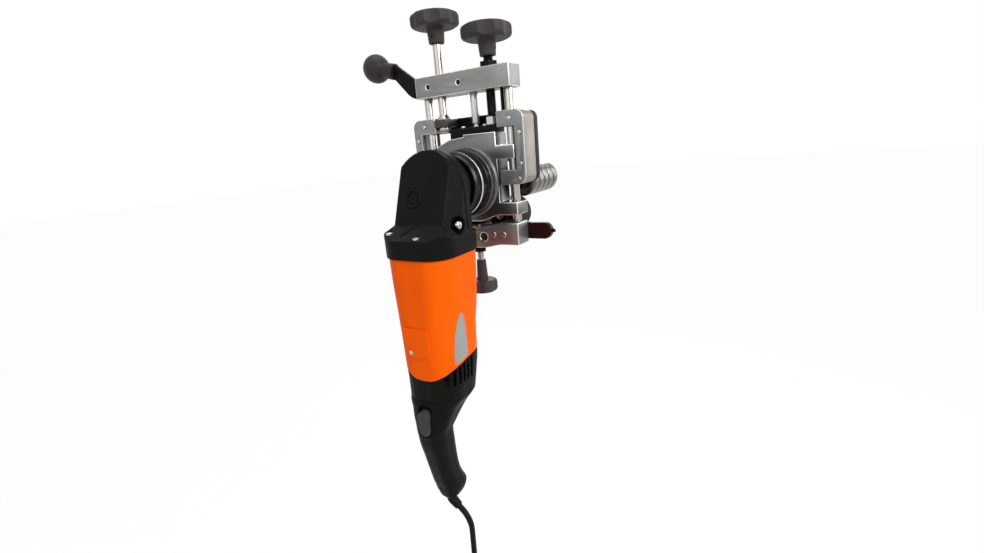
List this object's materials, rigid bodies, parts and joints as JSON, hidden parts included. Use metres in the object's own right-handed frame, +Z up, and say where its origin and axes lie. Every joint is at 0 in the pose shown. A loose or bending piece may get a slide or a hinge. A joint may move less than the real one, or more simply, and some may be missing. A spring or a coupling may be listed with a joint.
{
  "type": "pipe beveling machine",
  "caption": "Portable electric pipe beveling machine: a hanging motor drives a milling head on a two-rod clamp that straddles the pipe wall and rolls round the pipe.",
  "frame": {"origin": "pipe seat: top of the pipe's outer surface, in the plane of the pipe's end face", "axes": "+Z up along the guide rods, +Y along the pipe axis into the pipe, +X to the right along the crossbar"},
  "size_m": [0.2417, 0.3056, 0.897],
  "materials": {
    "bar_aluminium": "satin",
    "plate_grey": "satin",
    "block_aluminium": "satin",
    "cover_grey": "satin",
    "bright_steel": "polished",
    "screw_steel": "satin",
    "black_steel": "satin",
    "dark_collar": "satin",
    "knob_black": "matte",
    "ball_grey": "satin",
    "shoe_red": "satin",
    "lug_steel": "satin",
    "roller_steel": "polished",
    "roller_dark": "matte",
    "housing_black": "satin",
    "housing_orange": "satin",
    "switch_grey": "matte",
    "cord_black": "matte",
    "gear_steel": "satin",
    "cutter_steel": "satin",
    "insert_gold": "polished",
    "winding_copper": "satin",
    "stator_iron": "matte",
    "bearing_steel": "polished"
  },
  "bodies": {
    "frame": {"crossbar": "bar_aluminium", "guide_rods": "bright_steel", "bottom_bar": "bar_aluminium", "jam_nuts": "black_steel", "handle_arm": "black_steel", "ball_knob": "ball_grey", "end_shoes": "shoe_red", "frame_screws": "screw_steel", "inner_axles": "screw_steel"},
    "inner_left": {"inner_roller_left": "roller_dark"},
    "inner_right": {"inner_roller_right": "roller_dark"},
    "stop_tip": {"stop_pad": "screw_steel"},
    "stop_turn": {"stop_screw": "screw_steel", "stop_knob": "knob_black"},
    "roller_carriage": {"c_block_left": "block_aluminium", "c_block_right": "block_aluminium", "front_plate_left": "cover_grey", "front_plate_right": "cover_grey", "rear_plate_left": "black_steel", "rear_plate_right": "black_steel", "tie_bar": "black_steel", "screw_lug": "lug_steel", "slide_pin": "black_steel", "roller_axles": "screw_steel", "carriage_screws": "screw_steel"},
    "outer_left": {"outer_roller_left": "roller_steel"},
    "outer_right": {"outer_roller_right": "roller_steel"},
    "clamp_drive": {"clamp_screw": "bright_steel", "clamp_knob": "knob_black"},
    "motor_carriage": {"main_plate": "plate_grey", "feed_bracket": "black_steel", "guide_pin": "screw_steel", "neck_collar": "dark_collar", "clamp_ring": "dark_collar", "chip_guard": "black_steel", "bearings": "bearing_steel", "gear_head": "housing_black", "head_cap": "housing_black", "motor_screws": "screw_steel", "motor_housing": "housing_orange", "brush_covers": "housing_orange", "stator": "stator_iron", "vent_ring": "housing_black", "handle_shell": "housing_black", "cord_boot": "cord_black", "mains_cord": "cord_black", "cord_hank": "cord_black", "hank_tie": "cord_black", "plug": "cord_black"},
    "feed_drive": {"feed_screw": "black_steel", "feed_knob": "knob_black"},
    "spindle_set": {"spindle": "screw_steel", "crown_gear": "gear_steel", "milling_head": "cutter_steel", "cutter_inserts": "insert_gold", "cutter_screws": "cutter_steel"},
    "armature_set": {"armature": "winding_copper", "pinion": "gear_steel"},
    "lock_button": {"lock_button": "bright_steel"},
    "switch_button": {"switch_button": "switch_grey"}
  },
  "joints": [
    {"name": "carriage_slide", "type": "slide", "parent": "frame", "child": "motor_carriage", "axis": [0, 0, 1], "range_m": [-0.004, 0.01]},
    {"name": "feed_knob_turn", "type": "hinge", "parent": "motor_carriage", "child": "feed_drive", "pos_m": [0.031, -0.021, 0.1], "axis": [0, 0, 1], "range_deg": [-481, 1201]},
    {"name": "roller_slide", "type": "slide", "parent": "frame", "child": "roller_carriage", "axis": [0, 0, 1], "range_m": [-0.003, 0.007]},
    {"name": "clamp_knob_turn", "type": "hinge", "parent": "roller_carriage", "child": "clamp_drive", "pos_m": [-0.031, -0.021, 0.1], "axis": [0, 0, 1], "range_deg": [-361, 841]},
    {"name": "stop_slide", "type": "slide", "parent": "frame", "child": "stop_tip", "axis": [0, 0, 1], "range_m": [-0.006, 0]},
    {"name": "stop_knob_turn", "type": "hinge", "parent": "stop_tip", "child": "stop_turn", "pos_m": [0, -0.019, -0.08], "axis": [0, 0, 1], "range_deg": [-1729, 1]},
    {"name": "outer_left_spin", "type": "hinge", "parent": "roller_carriage", "child": "outer_left", "pos_m": [-0.046, 0.03, 0.00834], "axis": [0, 1, 0], "continuous": true},
    {"name": "outer_right_spin", "type": "hinge", "parent": "roller_carriage", "child": "outer_right", "pos_m": [0.046, 0.03, 0.00834], "axis": [0, 1, 0], "continuous": true},
    {"name": "inner_left_spin", "type": "hinge", "parent": "frame", "child": "inner_left", "pos_m": [-0.022, 0.02, -0.02947], "axis": [0, 1, 0], "continuous": true},
    {"name": "inner_right_spin", "type": "hinge", "parent": "frame", "child": "inner_right", "pos_m": [0.022, 0.02, -0.02947], "axis": [0, 1, 0], "continuous": true},
    {"name": "armature_spin", "type": "hinge", "parent": "motor_carriage", "child": "armature_set", "pos_m": [0, -0.107, -0.1], "axis": [0, 0, 1], "continuous": true},
    {"name": "spindle_spin", "type": "hinge", "parent": "motor_carriage", "child": "spindle_set", "pos_m": [0, -0.05, 0.012], "axis": [0, 1, 0], "continuous": true},
    {"name": "lock_press", "type": "slide", "parent": "motor_carriage", "child": "lock_button", "axis": [-1, 0, 0], "range_m": [0, 0.004], "stiffness_N_per_m": 800},
    {"name": "switch_slide", "type": "slide", "parent": "motor_carriage", "child": "switch_button", "axis": [0, 0, 1], "range_m": [0, 0.004]}
  ],
  "couplings": [
    {"joint": "feed_knob_turn", "follows": "carriage_slide", "rad_per_m": 2094.4},
    {"joint": "clamp_knob_turn", "follows": "roller_slide", "rad_per_m": 2094.4},
    {"joint": "stop_knob_turn", "follows": "stop_slide", "rad_per_m": 5026.5},
    {"joint": "spindle_spin", "follows": "armature_spin", "ratio": 0.33333}
  ]
}
